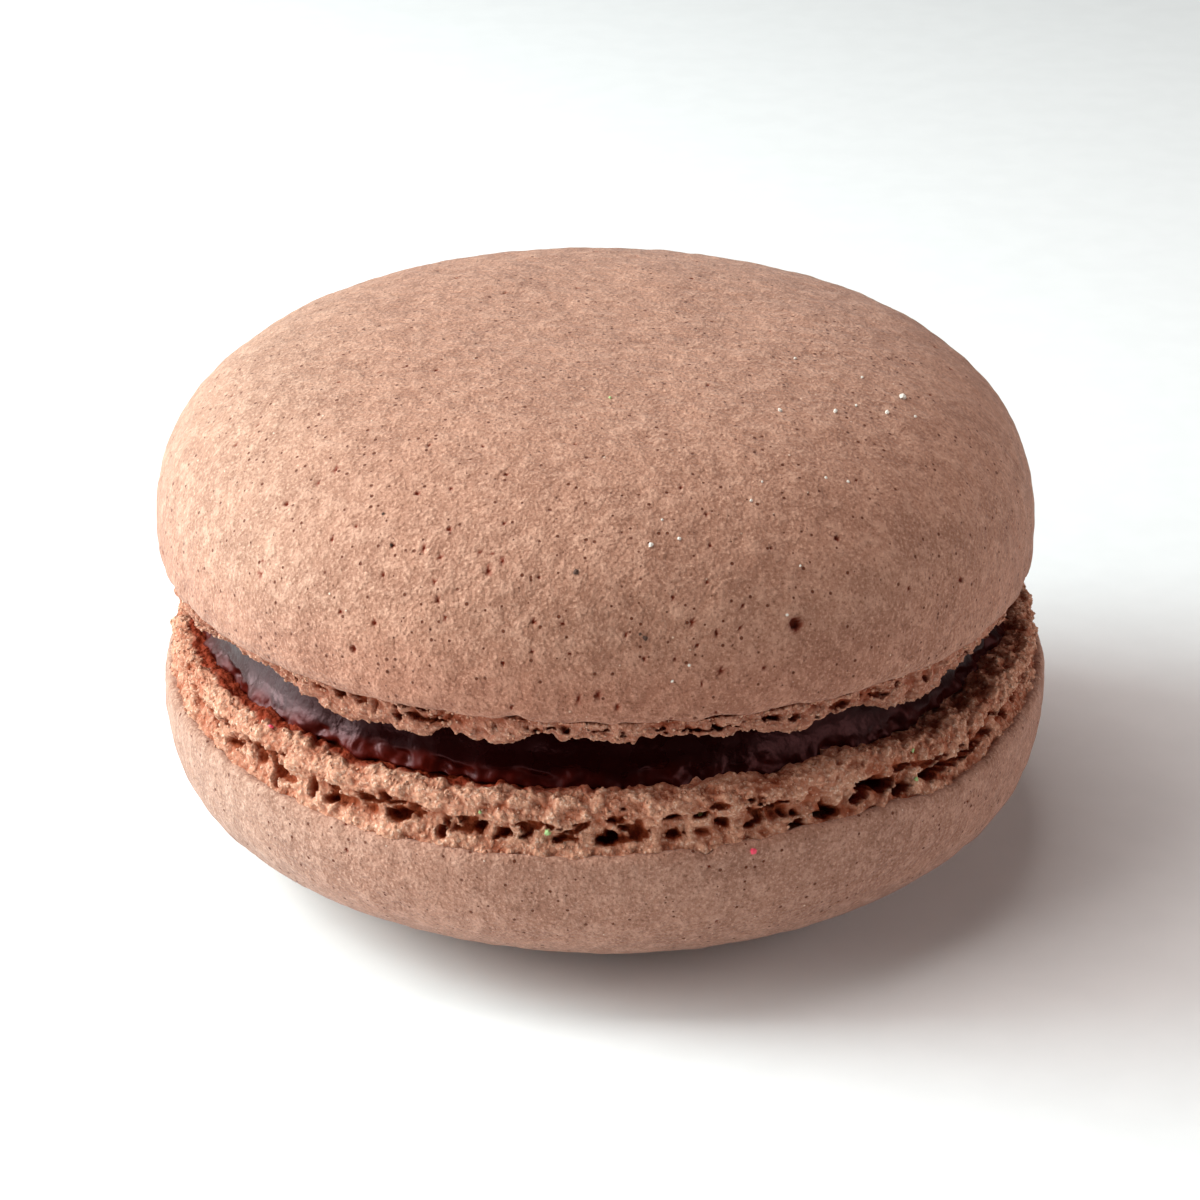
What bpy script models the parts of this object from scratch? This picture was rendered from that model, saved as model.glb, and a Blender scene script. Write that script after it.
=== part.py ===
# Chocolate macaron: two domed almond shells with ruffled feet, and a disc
# of ganache between them. Metres, +Z up, origin under the middle, on the
# flat spot of the lower crown that the macaron rests on.

import math

import bmesh
import bpy
from mathutils import Vector, noise

MM = 0.001

# Heights of the layers above the resting spot
LOWER_RIM_Z = 9.5 * MM
SEAT_Z = 11.9 * MM            # where the ganache lies on the lower shell
UNDERSIDE_Z = 14.5 * MM       # flat underside of the upper shell
UPPER_RIM_Z = 16.0 * MM
LAYER_GAP = 0.3 * MM          # clearance that the touching layers keep

# Lower shell, crown down
LOWER_RADIUS = 23.0 * MM
LOWER_WIDEST_Z = 8.8 * MM
LOWER_FLATNESS = 2.9          # exponents of the crown's curve
LOWER_SHOULDER = 3.1
REST_RADIUS = 6.5 * MM        # flat spot that it stands on

# Upper shell, a little narrower and off centre
UPPER_RADIUS = 22.5 * MM
UPPER_WIDEST_Z = 17.0 * MM
UPPER_HEIGHT = 10.5 * MM      # from its widest ring to the crown
UPPER_FLATNESS = 2.55
UPPER_SHOULDER = 3.1
UPPER_SHIFT = -0.45 * MM
POLE_RADIUS = 2.2 * MM        # smallest ring round the crown

# Rims: each rises and dips a little on its way round, and its foot with it
LOWER_RIM_WAVES = ((1, 0.30 * MM), (2, 0.22 * MM), (3, -0.26 * MM))
UPPER_RIM_WAVES = ((1, -0.29 * MM), (2, -0.12 * MM))
RIM_REACH = 6.0 * MM          # how far above and below a rim its waves fade
LIP = 0.3 * MM                # how far a rim's lip curls in

# Feet: the crumb that rose out from under each crust
LOWER_FOOT_RADIUS = 22.6 * MM
LOWER_FOOT_TOP_Z = 12.35 * MM
LOWER_FOOT_WIDTH = 2.0 * MM   # from its outside to its flat middle
UPPER_FOOT_RADIUS = 21.8 * MM
UPPER_FOOT_LOW_Z = 14.25 * MM
UPPER_FOOT_WIDTH = 1.5 * MM

# Sections of the feet, from the middle outwards and on to the rim, as
# (share of the width in from the outside, share of the height, relief)
LOWER_FOOT_CURVE = ((0.80, 0.88, 0.1), (0.45, 1.00, 0.4), (0.16, 0.93, 0.8), (0.02, 0.76, 1.0),
                    (0.00, 0.58, 1.0), (0.04, 0.43, 0.7))
LOWER_CREVICE = 0.31          # share of the foot's height
LOWER_FRINGE = ((0.05, 0.20, 0.4), (0.02, 0.08, 0.2))
UPPER_FOOT_CURVE = ((0.80, 0.88, 0.1), (0.45, 1.00, 0.4), (0.14, 0.88, 0.8), (0.00, 0.62, 1.0),
                    (0.04, 0.36, 0.7))
UPPER_CREVICE = 0.15

# Crumb relief: nodules with creases between them, lobes, and crevices
NODULE_SIZE = 2.4 * MM
NODULE_RELIEF = 0.9 * MM
NODULE_ROUNDNESS = 3.0
CRUMB_SIZE = 1.4 * MM
CRUMB_RELIEF = 0.35 * MM
LOBE_SIZE = 4.5 * MM
LOBE_RELIEF = 0.45 * MM
CREVICE_SIZE = 2.8 * MM
CREVICE_DEPTH = 0.55 * MM     # on average, over its bridges and gaps
CREVICE_RELIEF = 1.0 * MM

# Crust: soft swells left by the batter
SWELL_SIZE = 7.0 * MM
SWELL_RELIEF = 0.12 * MM
SWELL_FREE_Z = 2.0 * MM       # below this the crown is smoother, to rest flat

# Ganache, set back between the feet and spread a little at its base
GANACHE_TOP_RADIUS = 19.3 * MM
GANACHE_BASE_RADIUS = 20.3 * MM
GANACHE_BULGE = 0.35 * MM
GANACHE_SHIFT = -0.2 * MM
GANACHE_WAVE_SIZE = 5.0 * MM
GANACHE_WAVE_RELIEF = 0.2 * MM
GANACHE_SIDE_ROWS = (0.12, 0.4, 0.7, 0.92)

SHELL_STEPS = 132
GANACHE_STEPS = 96
CROWN_ROWS = 10
CURVE_SAMPLES = 600
MERGE_DISTANCE = 0.01 * MM
ZONES = ("plain", "crust", "rim", "foot", "crevice")
SMOOTH_ANGLE = math.radians(60)
CRUST_COLOUR = (0.40, 0.215, 0.150)
GANACHE_COLOUR = (0.012, 0.004, 0.003)


def clear_scene():
    for old in list(bpy.data.objects):
        bpy.data.objects.remove(old, do_unlink=True)


def make_material(name, colour, roughness):
    material = bpy.data.materials.new(name)
    material.use_nodes = True
    shader = material.node_tree.nodes["Principled BSDF"]
    shader.inputs["Base Color"].default_value = (*colour, 1.0)
    shader.inputs["Roughness"].default_value = roughness
    shader.inputs["Metallic"].default_value = 0.0
    return material


def crown_points(radius, height, flatness, shoulder, inner_radius):
    # Rings of a crown from its widest down to inner_radius, as (radius,
    # height above the widest ring). Each turns the surface by a like angle.
    curve = []
    for i in range(CURVE_SAMPLES + 1):
        share = math.sin(i / CURVE_SAMPLES * math.pi / 2)
        ring = radius * (1 - share ** flatness) ** (1 / shoulder)
        if ring >= inner_radius:
            curve.append((ring, height * share))
    slopes = [math.atan2(z1 - z0, r0 - r1) for (r0, z0), (r1, z1) in zip(curve, curve[1:])]
    first, last = slopes[0], slopes[-1]
    points = [curve[0]]
    for row in range(1, CROWN_ROWS):
        wanted = first + (last - first) * row / CROWN_ROWS
        points.append(next(point for point, slope in zip(curve, slopes) if slope <= wanted))
    points.append(curve[-1])
    return points


def turned(name, outline, steps):
    # Turns an outline of (radius, height, zone, share) round the Z axis. The
    # turned mesh keeps each zone as a vertex group, and the share as the weight.
    mesh = bpy.data.meshes.new(name)
    points = [(radius, 0.0, height) for radius, height, zone, share in outline]
    edges = [(i, i + 1) for i in range(len(points) - 1)]
    mesh.from_pydata(points, edges, [])
    profile = bpy.data.objects.new(name, mesh)
    bpy.context.scene.collection.objects.link(profile)
    for zone in ZONES:
        group = profile.vertex_groups.new(name=zone)
        for i, point in enumerate(outline):
            if point[2] == zone:
                group.add([i], point[3], "REPLACE")
    screw = profile.modifiers.new("turn", "SCREW")
    screw.axis = "Z"
    screw.angle = 2 * math.pi
    screw.steps = steps
    screw.render_steps = steps
    screw.use_merge_vertices = True
    screw.merge_threshold = MERGE_DISTANCE
    graph = bpy.context.evaluated_depsgraph_get()
    solid = bpy.data.meshes.new_from_object(profile.evaluated_get(graph))
    profile.modifiers.clear()
    profile.data = solid
    bpy.data.meshes.remove(mesh)
    return profile


def waves(angle, terms):
    return sum(size * math.cos(turns * angle) for turns, size in terms)


def swell(place):
    return SWELL_RELIEF * noise.noise(place / SWELL_SIZE)


def foot_relief(place):
    # Rounded nodules with creases between them, and finer crumb on top
    near, second = noise.voronoi(place / NODULE_SIZE)[0][:2]
    nodule = 1 - math.exp(-NODULE_ROUNDNESS * (second - near))
    crumb = noise.noise(place / CRUMB_SIZE)
    return NODULE_RELIEF * (nodule - 0.6) + CRUMB_RELIEF * crumb


def crevice_relief(place):
    # Deep in the gaps and nearly level where crumb bridges them
    bridge = noise.noise(place / CREVICE_SIZE)
    return min(0.0, CREVICE_RELIEF * bridge - CREVICE_DEPTH)


def smooth_step(share):
    share = min(max(share, 0.0), 1.0)
    return share * share * (3 - 2 * share)


def shape_shell(shell, rim_z, rim_waves, lobe_way):
    # Waves the rim, swells the crust and ruffles the foot of a turned shell.
    # Lobes of the foot hang down, lobe_way -1, or stand up, lobe_way 1.
    places = []
    for vertex in shell.data.vertices:
        place = vertex.co.copy()
        shares = {ZONES[entry.group]: entry.weight for entry in vertex.groups}
        crust, rim, foot = (shares.get(zone, 0.0) for zone in ("crust", "rim", "foot"))
        outward = Vector((place.x, place.y, 0.0)).normalized()
        relief = (crust + 2 * rim) * swell(place) * smooth_step(place.z / SWELL_FREE_Z)
        relief += foot * foot_relief(place)
        move = vertex.normal * relief
        if "crevice" in shares:
            move += outward * crevice_relief(place)
        lobe = LOBE_RELIEF * noise.noise(outward * (place.xy.length / LOBE_SIZE))
        move.z += lobe_way * foot * lobe
        if "plain" not in shares:
            fade = smooth_step(1 - abs(place.z - rim_z) / RIM_REACH)
            angle = math.atan2(place.y, place.x)
            move.z += fade * waves(angle, rim_waves)
        places.append(place + move)
    for vertex, place in zip(shell.data.vertices, places):
        vertex.co = place
    shell.vertex_groups.clear()


def finish(solid, material, shift=0.0):
    # Smooth shading with sharp creases, the material, and the sideways shift
    mesh = solid.data
    edit = bmesh.new()
    edit.from_mesh(mesh)
    bmesh.ops.remove_doubles(edit, verts=edit.verts, dist=MERGE_DISTANCE)
    bmesh.ops.translate(edit, verts=edit.verts, vec=(shift, 0.0, 0.0))
    bmesh.ops.recalc_face_normals(edit, faces=edit.faces)
    edit.to_mesh(mesh)
    edit.free()
    mesh.shade_smooth()
    mesh.set_sharp_from_angle(angle=SMOOTH_ANGLE)
    mesh.materials.clear()
    mesh.materials.append(material)


def make_lower_shell():
    seat = LOWER_FOOT_RADIUS - LOWER_FOOT_WIDTH
    rise = LOWER_FOOT_TOP_Z - LOWER_RIM_Z
    outline = [(0.0, SEAT_Z, "plain", 1.0), (seat, SEAT_Z, "plain", 1.0)]
    for inset, share, relief in LOWER_FOOT_CURVE:
        ring = LOWER_FOOT_RADIUS - inset * LOWER_FOOT_WIDTH
        outline.append((ring, LOWER_RIM_Z + share * rise, "foot", relief))
    outline.append((LOWER_FOOT_RADIUS, LOWER_RIM_Z + LOWER_CREVICE * rise, "crevice", 1.0))
    for inset, share, relief in LOWER_FRINGE:
        ring = LOWER_FOOT_RADIUS - inset * LOWER_FOOT_WIDTH
        outline.append((ring, LOWER_RIM_Z + share * rise, "foot", relief))
    outline.append((LOWER_RADIUS - 1.5 * LIP, LOWER_RIM_Z, "rim", 1.0))
    outline.append((LOWER_RADIUS - 0.4 * LIP, LOWER_RIM_Z - LIP, "rim", 1.0))
    crown = crown_points(LOWER_RADIUS, LOWER_WIDEST_Z, LOWER_FLATNESS, LOWER_SHOULDER, REST_RADIUS)
    depth = crown[-1][1]
    for ring, height in crown[:-1]:
        outline.append((ring, depth - height, "crust", 1.0))
    outline.append((REST_RADIUS, 0.0, "plain", 1.0))
    outline.append((0.0, 0.0, "plain", 1.0))
    shell = turned("bottom_shell", outline, SHELL_STEPS)
    shape_shell(shell, LOWER_RIM_Z, LOWER_RIM_WAVES, 1)
    finish(shell, make_material("lower_crust", CRUST_COLOUR, 0.6))
    return shell


def make_upper_shell():
    seat = UPPER_FOOT_RADIUS - UPPER_FOOT_WIDTH
    drop = UPPER_RIM_Z - UPPER_FOOT_LOW_Z
    crown = crown_points(UPPER_RADIUS, UPPER_HEIGHT, UPPER_FLATNESS, UPPER_SHOULDER, POLE_RADIUS)
    outline = [(0.0, UPPER_WIDEST_Z + UPPER_HEIGHT, "crust", 1.0)]
    for ring, height in reversed(crown):
        outline.append((ring, UPPER_WIDEST_Z + height, "crust", 1.0))
    outline.append((UPPER_RADIUS - 0.3 * LIP, UPPER_RIM_Z + 1.5 * LIP, "rim", 1.0))
    outline.append((UPPER_RADIUS - 1.5 * LIP, UPPER_RIM_Z, "rim", 1.0))
    outline.append((UPPER_FOOT_RADIUS, UPPER_RIM_Z - UPPER_CREVICE * drop, "crevice", 1.0))
    for inset, share, relief in reversed(UPPER_FOOT_CURVE):
        ring = UPPER_FOOT_RADIUS - inset * UPPER_FOOT_WIDTH
        outline.append((ring, UPPER_RIM_Z - share * drop, "foot", relief))
    outline.append((seat, UNDERSIDE_Z, "plain", 1.0))
    outline.append((0.0, UNDERSIDE_Z, "plain", 1.0))
    shell = turned("top_shell", outline, SHELL_STEPS)
    shape_shell(shell, UPPER_RIM_Z, UPPER_RIM_WAVES, -1)
    finish(shell, make_material("upper_crust", CRUST_COLOUR, 0.6), UPPER_SHIFT)
    return shell


def make_filling():
    low = SEAT_Z + LAYER_GAP
    high = UNDERSIDE_Z - LAYER_GAP
    outline = [(0.0, high, "plain", 1.0), (GANACHE_TOP_RADIUS, high, "plain", 1.0)]
    for share in GANACHE_SIDE_ROWS:
        straight = GANACHE_TOP_RADIUS + (GANACHE_BASE_RADIUS - GANACHE_TOP_RADIUS) * share
        ring = straight + GANACHE_BULGE * math.sin(share * math.pi)
        outline.append((ring, high + (low - high) * share, "plain", 1.0))
    outline.append((GANACHE_BASE_RADIUS, low, "plain", 1.0))
    outline.append((0.0, low, "plain", 1.0))
    filling = turned("filling", outline, GANACHE_STEPS)
    places = []
    for vertex in filling.data.vertices:
        wave = noise.noise(vertex.co / GANACHE_WAVE_SIZE) if low < vertex.co.z < high else 0.0
        places.append(vertex.co + vertex.normal * (GANACHE_WAVE_RELIEF * wave))
    for vertex, place in zip(filling.data.vertices, places):
        vertex.co = place
    filling.vertex_groups.clear()
    finish(filling, make_material("ganache", GANACHE_COLOUR, 0.25), GANACHE_SHIFT)
    return filling


def stand_at_origin(solids):
    # Moves the macaron so that the middle of its box stands on the origin
    corners = [vertex.co for solid in solids for vertex in solid.data.vertices]
    low = [min(corner[axis] for corner in corners) for axis in range(3)]
    high = [max(corner[axis] for corner in corners) for axis in range(3)]
    offset = Vector((-(low[0] + high[0]) / 2, -(low[1] + high[1]) / 2, -low[2]))
    for solid in solids:
        for vertex in solid.data.vertices:
            vertex.co += offset


clear_scene()
macaron = bpy.data.collections.new("macaron")
bpy.context.scene.collection.children.link(macaron)
pieces = [make_lower_shell(), make_filling(), make_upper_shell()]
stand_at_origin(pieces)
for piece in pieces:
    bpy.context.scene.collection.objects.unlink(piece)
    macaron.objects.link(piece)
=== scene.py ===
import math
import random

import bmesh
import bpy
from mathutils import Euler, Matrix, Vector, noise
from mathutils.bvhtree import BVHTree
from mathutils.kdtree import KDTree


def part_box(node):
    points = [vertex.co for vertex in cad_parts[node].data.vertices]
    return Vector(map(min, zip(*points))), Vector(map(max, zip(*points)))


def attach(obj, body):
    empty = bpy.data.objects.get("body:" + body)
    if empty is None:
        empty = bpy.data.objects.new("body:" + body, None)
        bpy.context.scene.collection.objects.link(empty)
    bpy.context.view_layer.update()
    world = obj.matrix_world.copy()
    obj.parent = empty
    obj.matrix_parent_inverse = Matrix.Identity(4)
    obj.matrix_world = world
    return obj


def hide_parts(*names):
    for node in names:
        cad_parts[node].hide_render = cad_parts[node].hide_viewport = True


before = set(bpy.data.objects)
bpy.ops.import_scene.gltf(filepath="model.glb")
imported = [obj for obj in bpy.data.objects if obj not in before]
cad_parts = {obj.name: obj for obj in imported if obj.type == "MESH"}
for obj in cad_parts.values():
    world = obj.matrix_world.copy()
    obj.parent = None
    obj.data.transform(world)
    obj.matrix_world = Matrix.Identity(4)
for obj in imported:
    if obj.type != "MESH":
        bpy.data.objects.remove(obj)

noise.seed_set(8)          # the clock would seed noise_vector otherwise
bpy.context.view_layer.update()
mm = 0.001
mergeWithin = 0.001 * mm
tiny = 1e-12
collection = bpy.context.scene.collection
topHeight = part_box("top_shell")[1].z

# The photographed view, from the front and a little above
view = {
    "elevation": math.radians(25.0),
    "distance": 190.0 * mm,
    "aim": Vector((-0.22, 0.0, 12.13)) * mm,
    "pixelsPerMm": 19.14,      # at the aim, in a picture of 1200 pixels
    "picture": 1200,
    "sensor": 36.0,
    "clipStart": 10 * mm,
}
viewBack = Vector((0.0, -math.cos(view["elevation"]), math.sin(view["elevation"])))
viewUp = Vector((0.0, math.sin(view["elevation"]), math.cos(view["elevation"])))
viewRight = Vector((1.0, 0.0, 0.0))
viewPoint = view["aim"] + viewBack * view["distance"]
viewFocal = view["pixelsPerMm"] * view["distance"] / mm      # in pixels


def addCamera():
    data = bpy.data.cameras.new("camera")
    data.sensor_width = view["sensor"]
    data.lens = view["sensor"] * viewFocal / view["picture"]
    data.clip_start = view["clipStart"]
    camera = bpy.data.objects.new("camera", data)
    camera.location = viewPoint
    camera.rotation_euler = viewBack.to_track_quat("Z", "Y").to_euler()
    collection.objects.link(camera)
    bpy.context.scene.camera = camera


# Where things lie in the picture, in its pixels, is turned into places on the
# macaron by a ray from the camera
def rayThrough(pixel):
    middle = view["picture"] / 2
    across = viewRight * (pixel[0] - middle)
    along = viewUp * (middle - pixel[1])
    return (across + along - viewBack * viewFocal).normalized()


def onDrum(pixel, radius, shift=0.0):
    # Angle and height where the ray meets an upright drum round the middle
    ray = rayThrough(pixel)
    start = viewPoint - Vector((shift, 0.0, 0.0))
    a = ray.xy.length_squared
    b = start.xy.dot(ray.xy)
    c = start.xy.length_squared - radius * radius
    reach = (-b - math.sqrt(max(b * b - a * c, 0.0))) / a
    place = start + ray * reach
    return math.atan2(place.y, place.x), place.z


def smoothStep(low, high, value):
    share = min(max((value - low) / (high - low), 0.0), 1.0)
    return share * share * (3 - 2 * share)


def meshFrom(name, bm):
    mesh = bpy.data.meshes.new(name)
    bm.to_mesh(mesh)
    bm.free()
    mesh.shade_smooth()
    piece = bpy.data.objects.new(name, mesh)
    collection.objects.link(piece)
    return piece


# Outlines are lines of (radius, height)
def evenly(line, step):
    # The same line with its points a step apart
    lengths = [0.0]
    for (r0, z0), (r1, z1) in zip(line, line[1:]):
        lengths.append(lengths[-1] + math.hypot(r1 - r0, z1 - z0))
    count = max(2, round(lengths[-1] / step))
    points = []
    k = 0
    for i in range(count + 1):
        reach = lengths[-1] * i / count
        while k < len(line) - 2 and lengths[k + 1] < reach:
            k += 1
        share = (reach - lengths[k]) / max(lengths[k + 1] - lengths[k], tiny)
        (r0, z0), (r1, z1) = line[k], line[k + 1]
        points.append((r0 + (r1 - r0) * share, z0 + (z1 - z0) * share))
    return points


def rounded(points, pieces=12):
    # A smooth line through a few points given in millimetres
    line = []
    padded = [points[0], *points, points[-1]]
    for before, start, end, after in zip(padded, padded[1:], padded[2:], padded[3:]):
        for i in range(pieces):
            t = i / pieces
            line.append(tuple(0.5 * mm * (
                2 * start[k] + (end[k] - before[k]) * t
                + (2 * before[k] - 5 * start[k] + 4 * end[k] - after[k]) * t * t
                + (3 * start[k] - before[k] - 3 * end[k] + after[k]) * t ** 3) for k in range(2)))
    line.append((points[-1][0] * mm, points[-1][1] * mm))
    return line


def turned(line, turns):
    # A grid wrapped round the middle: each row of it is one ring of the line
    bm = bmesh.new()
    bmesh.ops.create_grid(bm, x_segments=turns, y_segments=len(line) - 1, size=1.0)
    row = bm.verts.layers.int.new("row")
    for vertex in bm.verts:
        vertex[row] = round((vertex.co.y + 1) / 2 * (len(line) - 1))
        ring, high = line[vertex[row]]
        angle = (vertex.co.x + 1) * math.pi
        vertex.co = (ring * math.cos(angle), ring * math.sin(angle), high)
    bmesh.ops.remove_doubles(bm, verts=bm.verts, dist=mergeWithin)
    bmesh.ops.recalc_face_normals(bm, faces=bm.faces)
    bm.normal_update()
    return bm, row


def rimRise(shape, angle):
    # How far a shell's rim lies above its mean height: waves, and a few bumps
    rise = sum(size * math.cos(turns * angle) for turns, size in shape["rimWaves"])
    for middle, wide, size in shape["rimBumps"]:
        away = (angle - middle + math.pi) % math.tau - math.pi
        rise += size * math.exp(-(away / wide) ** 2)
    return rise


# Crusts: a fine grid wrapped over each crown, then swollen and pitted
upperCrust = {
    "radius": 22.5 * mm,
    "widest": 17.0 * mm,
    "height": topHeight - 17.0 * mm,
    "flatness": 2.55,          # exponents of the crown's curve
    "shoulder": 3.1,
    "lip": ((22.5, 17.0), (22.47, 16.6), (22.3, 16.14), (21.95, 15.98), (21.3, 16.15)),
    "rim": 16.0 * mm,
    "rimWaves": ((1, -0.29 * mm), (2, -0.12 * mm)),
    "rimBumps": (),
    "shift": -0.45 * mm,
    # Burst bubbles in the picture: x, y, width across and depth in millimetres
    "pits": (
        (796, 624, 0.72, 0.35), (353, 649, 0.34, 0.18), (286, 504, 0.28, 0.14), (417, 493, 0.24, 0.12),
        (260, 574, 0.22, 0.10), (488, 570, 0.30, 0.16), (449, 529, 0.24, 0.12), (393, 545, 0.20, 0.10),
        (374, 623, 0.26, 0.13), (340, 612, 0.20, 0.10), (533, 622, 0.24, 0.12), (437, 601, 0.26, 0.13),
        (837, 538, 0.30, 0.14), (692, 622, 0.22, 0.11), (697, 645, 0.20, 0.10), (721, 671, 0.24, 0.12),
        (961, 580, 0.28, 0.14), (440, 557, 0.18, 0.10), (479, 552, 0.18, 0.10), (492, 553, 0.16, 0.09),
        (434, 582, 0.18, 0.10), (503, 560, 0.15, 0.08), (445, 617, 0.16, 0.09), (563, 624, 0.20, 0.10),
        (503, 663, 0.20, 0.10), (532, 652, 0.18, 0.09), (570, 654, 0.16, 0.08), (617, 707, 0.20, 0.10),
        (511, 708, 0.16, 0.08), (673, 597, 0.20, 0.10), (644, 659, 0.18, 0.10), (675, 659, 0.18, 0.10),
        (740, 628, 0.16, 0.08), (743, 605, 0.18, 0.09), (706, 514, 0.17, 0.09), (710, 545, 0.20, 0.10),
        (707, 582, 0.16, 0.08), (764, 668, 0.18, 0.09), (716, 713, 0.18, 0.09), (771, 548, 0.16, 0.08),
        (332, 539, 0.18, 0.09), (383, 575, 0.20, 0.10), (262, 561, 0.16, 0.08), (356, 526, 0.17, 0.09),
        (235, 445, 0.20, 0.10), (429, 445, 0.18, 0.09), (483, 446, 0.17, 0.09), (575, 444, 0.17, 0.09),
        (339, 382, 0.17, 0.09), (451, 488, 0.18, 0.09), (504, 523, 0.16, 0.08), (539, 577, 0.16, 0.08),
    ),
    "morePits": 90,            # at most so many more, anywhere
}
lowerCrust = {
    "radius": 23.0 * mm,
    "widest": 8.8 * mm,
    "height": -8.8 * mm,
    "flatness": 2.9,
    "shoulder": 3.1,
    "lip": ((23.0, 8.8), (22.97, 9.15), (22.85, 9.4), (22.6, 9.5), (22.1, 9.3)),
    "rim": 9.5 * mm,
    "rimWaves": ((1, 0.30 * mm), (2, 0.22 * mm), (3, -0.26 * mm)),
    "rimBumps": ((-0.70, 0.17, -0.75 * mm), (-2.2, 0.6, 0.25 * mm)),
    "shift": 0.0,
    "pits": (),
    "morePits": 60,
}
crustRelief = {
    "cells": 300,              # along each side of the grid
    "rimReach": 6.0 * mm,      # how far the rim's waves reach
    "lineStep": 0.05 * mm,
    # Sizes and reliefs of what swells, all over and along the rim
    "swells": ((7.0 * mm, 0.10 * mm), (3.0 * mm, 0.06 * mm), (1.3 * mm, 0.06 * mm), (0.6 * mm, 0.028 * mm)),
    "ruffle": ((2.6 * mm, 0.10 * mm), (0.9 * mm, 0.09 * mm)),
    "ruffleReach": 0.8 * mm,
    "restClear": 2.0 * mm,     # the crown is level this near the floor
    "spacing": 0.2 * mm,       # of the grid itself, roughly
    "pitReach": 1.1 * mm,      # a pit gathers the grid from this far
    "pitRings": 3.2,           # rings of the grid that it gathers inside a pit
    "pitsApart": 0.9 * mm,     # no chance pit lies nearer to another one
    "chanceAcross": (0.14 * mm, 0.26 * mm),
    # Shares of a pit's radius: its wall from and to, its low rim (height as a
    # share of the depth, place and width), and how far its stain reaches
    "pitWall": (1.0, 0.5),
    "pitRim": (0.06, 1.2, 0.3),
    "pitStain": (1.05, 0.8),
    "inset": 0.93,             # how far the inside of the lip is pulled in
}


def crownLine(crust, samples=900):
    # From the middle of the crown out to its widest ring
    line = []
    for i in range(samples):
        share = math.cos(i / samples * math.pi / 2)
        ring = crust["radius"] * (1 - share ** crust["flatness"]) ** (1 / crust["shoulder"])
        line.append((ring, crust["widest"] + crust["height"] * share))
    return line


def onDisc(x, y):
    # From a square to a disc, with like areas kept alike
    if x == 0 and y == 0:
        return 0.0, 0.0
    if abs(x) > abs(y):
        angle = math.pi / 4 * y / x
        return (x, angle) if x > 0 else (-x, angle + math.pi)
    angle = math.pi / 2 - math.pi / 4 * x / y
    return (y, angle) if y > 0 else (-y, angle + math.pi)


def layered(place, layers):
    return sum(relief * noise.noise(place / size) for size, relief in layers)


def makeCrust(name, crust, seed):
    line = evenly(crownLine(crust) + rounded(crust["lip"]), crustRelief["lineStep"])
    bm = bmesh.new()
    bmesh.ops.create_grid(bm, x_segments=crustRelief["cells"], y_segments=crustRelief["cells"], size=1.0)
    for vertex in bm.verts:
        reach, angle = onDisc(vertex.co.x, vertex.co.y)
        spot = reach * (len(line) - 1)
        k = min(int(spot), len(line) - 2)
        (r0, z0), (r1, z1) = line[k], line[k + 1]
        ring = r0 + (r1 - r0) * (spot - k)
        high = z0 + (z1 - z0) * (spot - k)
        away = abs(high - crust["rim"])
        outward = Vector((math.cos(angle), math.sin(angle), 0.0))
        high += smoothStep(crustRelief["rimReach"], 0.0, away) * rimRise(crust, angle)
        ruffle = layered(outward * ring, crustRelief["ruffle"])
        high += smoothStep(crustRelief["ruffleReach"], 0.0, away) * ruffle
        vertex.co = outward * ring + Vector((crust["shift"], 0.0, high))
    edges = [edge for edge in bm.edges if edge.is_boundary]
    inner = bmesh.ops.extrude_edge_only(bm, edges=edges)["geom"]
    inset = crustRelief["inset"]
    innerVerts = [part for part in inner if isinstance(part, bmesh.types.BMVert)]
    bmesh.ops.scale(bm, verts=innerVerts, vec=(inset, inset, 1.0))
    innerEdges = [part for part in inner if isinstance(part, bmesh.types.BMEdge) and part.is_boundary]
    bmesh.ops.holes_fill(bm, edges=innerEdges, sides=0)
    bmesh.ops.recalc_face_normals(bm, faces=bm.faces)
    bm.normal_update()
    moves = []
    for vertex in bm.verts:
        calm = smoothStep(0.0, crustRelief["restClear"], vertex.co.z)
        moves.append(vertex.normal * (calm * layered(vertex.co, crustRelief["swells"])))
    for vertex, move in zip(bm.verts, moves):
        vertex.co += move
    pressPits(bm, crust, seed)
    return meshFrom(name, bm)


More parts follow.
